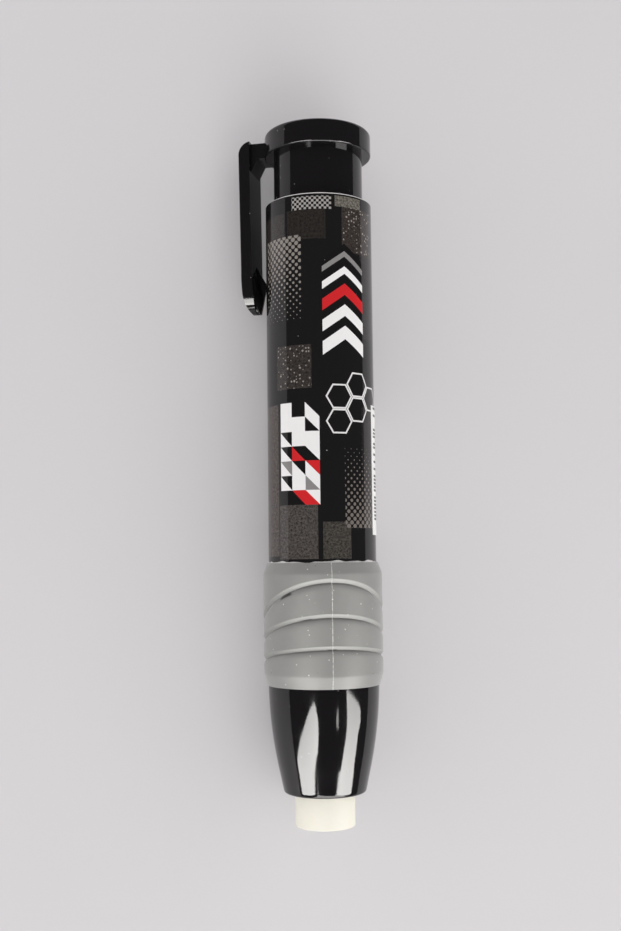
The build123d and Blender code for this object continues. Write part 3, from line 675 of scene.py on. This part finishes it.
# A stack of chevrons with one in red.
chevron_side = 2.2
chevron_half_width = 3.9
chevron_slope = 0.7
stack_middle = 88.0
stack_half = 8.0
aside = add(tree, "ShaderNodeMath", {"operation": "SUBTRACT"}, {0: girth, 1: chevron_side})
aside = add(tree, "ShaderNodeMath", {"operation": "ABSOLUTE"}, {0: aside})
climb = add(tree, "ShaderNodeMath", {"operation": "MULTIPLY_ADD"},
            {0: aside, 1: chevron_slope, 2: station})
place_in_stack = add(tree, "ShaderNodeMapRange", inputs={
    0: climb, 1: stack_middle - stack_half, 2: stack_middle + stack_half})
stack_colour = add(tree, "ShaderNodeValToRGB", inputs={0: place_in_stack})
set_steps(stack_colour.color_ramp, [
    (0.0, "f4f3f1"), (0.14, "191818"), (0.24, "f4f3f1"), (0.36, "191818"), (0.46, "d22a2e"),
    (0.58, "191818"), (0.68, "f4f3f1"), (0.76, "191818"), (0.86, "8c8a88"), (0.92, "191818")])
across = add(tree, "ShaderNodeMath", {"operation": "LESS_THAN"}, {0: aside, 1: chevron_half_width})
along = add(tree, "ShaderNodeMath", {"operation": "COMPARE"}, {0: climb, 1: stack_middle, 2: stack_half})
stack = add(tree, "ShaderNodeMath", {"operation": "MULTIPLY"}, {0: across, 1: along})
tone = add(tree, "ShaderNodeMix", {"data_type": "RGBA"}, {0: stack, 6: tone, 7: stack_colour})
# Outlined hexagons, side by side.
hexagon_size = 1.9
hexagon_line = 0.13
hexagon_slant = 0.866
for side, middle in [(1.0, 66.4), (1.0, 70.5), (4.6, 68.45), (4.6, 72.55), (8.2, 70.5)]:
    x = add(tree, "ShaderNodeMath", {"operation": "SUBTRACT"}, {0: girth, 1: side})
    x = add(tree, "ShaderNodeMath", {"operation": "ABSOLUTE"}, {0: x})
    y = add(tree, "ShaderNodeMath", {"operation": "SUBTRACT"}, {0: station, 1: middle})
    y = add(tree, "ShaderNodeMath", {"operation": "ABSOLUTE"}, {0: y})
    half_y = add(tree, "ShaderNodeMath", {"operation": "MULTIPLY"}, {0: y, 1: 0.5})
    slanted = add(tree, "ShaderNodeMath", {"operation": "MULTIPLY_ADD"},
                  {0: x, 1: hexagon_slant, 2: half_y})
    reach = add(tree, "ShaderNodeMath", {"operation": "MAXIMUM"}, {0: slanted, 1: y})
    drawn = add(tree, "ShaderNodeMath", {"operation": "COMPARE"},
                {0: reach, 1: hexagon_size, 2: hexagon_line})
    tone = add(tree, "ShaderNodeMix", {"data_type": "RGBA"}, {0: drawn, 6: tone, 7: linear("e9e8e6")})
# Fine checks by the rear rim.
check_size = 0.42
rim_distance = 1.5
checks = add(tree, "ShaderNodeTexChecker", inputs={"Vector": sheet, "Scale": 1 / check_size})
rim_area = field(side=-3.4, middle=film_high.y / MM - rim_distance, half_width=3.4, half_length=1.1)
checked = add(tree, "ShaderNodeMath", {"operation": "MULTIPLY"}, {0: rim_area, 1: checks.outputs["Fac"]})
tone = add(tree, "ShaderNodeMix", {"data_type": "RGBA"}, {0: checked, 6: tone, 7: linear("a5a29e")})
# A little dust lies on it, and shrinking left it faintly rippled.
specks = dust_specks(tree, coords, spacing=1.4 * MM, share=0.18, smallest=0.02, largest=0.07)
tone = add(tree, "ShaderNodeMix", {"data_type": "RGBA"}, {0: specks, 6: tone, 7: linear("a3a09b")})
ripples = add(tree, "ShaderNodeMapping", inputs={"Vector": sheet, "Scale": (0.35, 0.09, 1)})
ripple = add(tree, "ShaderNodeTexNoise", inputs={"Vector": ripples, "Scale": 1.0, "Detail": 2.0})
bump = add(tree, "ShaderNodeBump", inputs={"Strength": 0.3, "Distance": 0.05 * MM, "Height": ripple})
wire(shader, {"Base Color": tone, "Normal": bump, "Roughness": 0.06})
film.data.materials.append(print_film)

# Label. A coated paper sticker, stuck on the film. It carries one row of plain
# ticks in loose groups, and its front end is bare.
label_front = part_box("blank_label")[0].y
label_paper, tree, shader = new_material("coated_label_paper")
coords = add(tree, "ShaderNodeTexCoord").outputs["Object"]
split = add(tree, "ShaderNodeSeparateXYZ", inputs={0: coords})
fibres = add(tree, "ShaderNodeTexNoise", inputs={"Vector": coords, "Scale": 1 / (0.3 * MM), "Detail": 4.0})
tone = add(tree, "ShaderNodeMix", {"data_type": "RGBA"},
           {0: fibres, 6: linear("f4f3f0"), 7: linear("fbfaf8")})
tick_pitch = 0.6 * MM
tick_share = 0.6
gap_share = 0.25
row_height = 3.45 * MM
tick_half = 1.25 * MM
bare_length = 2.5 * MM
pace = add(tree, "ShaderNodeMath", {"operation": "DIVIDE"}, {0: split.outputs[1], 1: tick_pitch})
beat = add(tree, "ShaderNodeMath", {"operation": "FRACT"}, {0: pace})
tick = add(tree, "ShaderNodeMath", {"operation": "LESS_THAN"}, {0: beat, 1: tick_share})
count = add(tree, "ShaderNodeMath", {"operation": "FLOOR"}, {0: pace})
toss = add(tree, "ShaderNodeTexWhiteNoise", {"noise_dimensions": "1D"}, {"W": count})
kept = add(tree, "ShaderNodeMath", {"operation": "GREATER_THAN"}, {0: toss, 1: gap_share})
inner = add(tree, "ShaderNodeMath", {"operation": "GREATER_THAN"},
            {0: split.outputs[1], 1: label_front + bare_length})
row = add(tree, "ShaderNodeMath", {"operation": "COMPARE"},
          {0: split.outputs[2], 1: row_height, 2: tick_half})
ink = add(tree, "ShaderNodeMath", {"operation": "MULTIPLY"}, {0: tick, 1: row})
ink = add(tree, "ShaderNodeMath", {"operation": "MULTIPLY"}, {0: ink, 1: kept})
ink = add(tree, "ShaderNodeMath", {"operation": "MULTIPLY"}, {0: ink, 1: inner})
tone = add(tree, "ShaderNodeMix", {"data_type": "RGBA"}, {0: ink, 6: tone, 7: linear("2c2b2a")})
wire(shader, {"Base Color": tone, "Roughness": 0.35})
nodes["blank_label"].material_slots[0].material = label_paper

# Clutch housing. A cup drawn from thin steel sheet and nickel plated, clamped
# between the nose's spigot and the barrel. Drawing left faint lines along it.
plated_steel, tree, shader = new_material("nickel_plated_steel")
coords = add(tree, "ShaderNodeTexCoord").outputs["Object"]
drawn = add(tree, "ShaderNodeMapping", inputs={"Vector": coords, "Scale": (1, 0.1, 1)})
lines = add(tree, "ShaderNodeTexNoise", inputs={"Vector": drawn, "Scale": 1 / (0.15 * MM), "Detail": 3.0})
haze = add(tree, "ShaderNodeMapRange", inputs={0: lines, 3: 0.18, 4: 0.4})
bump = add(tree, "ShaderNodeBump", inputs={"Strength": 0.3, "Distance": 0.01 * MM, "Height": lines})
wire(shader, {"Roughness": haze, "Normal": bump, "Base Color": linear("b9b6b0"), "Metallic": 1.0})
nodes["clutch_housing"].material_slots[0].material = plated_steel

# Clutch ring. Turned from free-cutting brass, with fine tool marks round it. It
# slides in the housing, and its tapered bore closes the collet's jaws.
turned_brass, tree, shader = new_material("turned_brass")
coords = add(tree, "ShaderNodeTexCoord").outputs["Object"]
around = add(tree, "ShaderNodeMapping", inputs={"Vector": coords, "Scale": (0.05, 1, 0.05)})
lines = add(tree, "ShaderNodeTexNoise", inputs={"Vector": around, "Scale": 1 / (0.1 * MM), "Detail": 2.0})
haze = add(tree, "ShaderNodeMapRange", inputs={0: lines, 3: 0.16, 4: 0.34})
bump = add(tree, "ShaderNodeBump", inputs={"Strength": 0.4, "Distance": 0.008 * MM, "Height": lines})
wire(shader, {"Roughness": haze, "Normal": bump, "Base Color": linear("cfa95c"), "Metallic": 1.0})
nodes["clutch_ring"].material_slots[0].material = turned_brass

# Collet. Natural acetal, milky and waxy, moulded with its three jaws in one piece
# and pushed into the feed tube.
acetal, tree, shader = new_material("natural_acetal")
coords = add(tree, "ShaderNodeTexCoord").outputs["Object"]
cloud = add(tree, "ShaderNodeTexNoise", inputs={"Vector": coords, "Scale": 1 / (2 * MM), "Detail": 3.0})
tone = add(tree, "ShaderNodeMix", {"data_type": "RGBA"},
           {0: cloud, 6: linear("dedbd0"), 7: linear("eae8df")})
haze = add(tree, "ShaderNodeMapRange", inputs={0: cloud, 3: 0.3, 4: 0.45})
wire(shader, {"Base Color": tone, "Roughness": haze, "Subsurface Weight": 0.15, "Subsurface Scale": 1 * MM})
nodes["collet"].material_slots[0].material = acetal

# Feed tube. A white polypropylene tube, extruded, so it has faint die lines along
# it. It joins the collet and the push cap, and holds the rest of the stick.
polypropylene, tree, shader = new_material("white_polypropylene")
coords = add(tree, "ShaderNodeTexCoord").outputs["Object"]
along = add(tree, "ShaderNodeMapping", inputs={"Vector": coords, "Scale": (1, 0.05, 1)})
lines = add(tree, "ShaderNodeTexNoise", inputs={"Vector": along, "Scale": 1 / (0.4 * MM), "Detail": 2.0})
tone = add(tree, "ShaderNodeMix", {"data_type": "RGBA"},
           {0: lines, 6: linear("dfdfdc"), 7: linear("e9e9e6")})
bump = add(tree, "ShaderNodeBump", inputs={"Strength": 0.3, "Distance": 0.01 * MM, "Height": lines})
wire(shader, {"Base Color": tone, "Normal": bump, "Roughness": 0.4})
nodes["feed_tube"].material_slots[0].material = polypropylene

# Return spring. Bright cold-drawn wire, coiled in five open turns between the
# housing's web and the feed tube. The push button presses it together.
spring_radius = 6.33 * MM
wire_radius = 0.45 * MM
spring_turns = 5
turn_steps = 40
coil_start = 41.88 * MM
coil_length = 13.06 * MM
coil_steps = spring_turns * turn_steps
wire_end = Matrix.Translation((spring_radius, coil_start, 0))
bm = bmesh.new()
bmesh.ops.create_circle(bm, cap_ends=False, segments=16, radius=wire_radius, matrix=wire_end)
bmesh.ops.spin(bm, geom=bm.verts[:] + bm.edges[:], cent=(0, 0, 0), axis=(0, -1, 0),
               dvec=(0, coil_length / coil_steps, 0), angle=2 * math.pi * spring_turns, steps=coil_steps)
bmesh.ops.remove_doubles(bm, verts=bm.verts, dist=0.001 * MM)
bmesh.ops.holes_fill(bm, edges=[e for e in bm.edges if e.is_boundary], sides=0)
bmesh.ops.recalc_face_normals(bm, faces=bm.faces)
spring = new_piece("spring_coil", bm, "holder", "return_spring")
spring_wire, tree, shader = new_material("drawn_spring_wire")
coords = add(tree, "ShaderNodeTexCoord").outputs["Object"]
marks = add(tree, "ShaderNodeTexNoise", inputs={"Vector": coords, "Scale": 1 / (0.3 * MM), "Detail": 4.0})
haze = add(tree, "ShaderNodeMapRange", inputs={0: marks, 3: 0.2, 4: 0.38})
wire(shader, {"Roughness": haze, "Base Color": linear("a9a8a6"), "Metallic": 1.0})
spring.data.materials.append(spring_wire)
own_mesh(spring)

# Push cap. One moulding with its clip, in the nose's black polystyrene. The cap
# is pressed on the feed tube.
nodes["push_cap"].material_slots[0].material = polystyrene
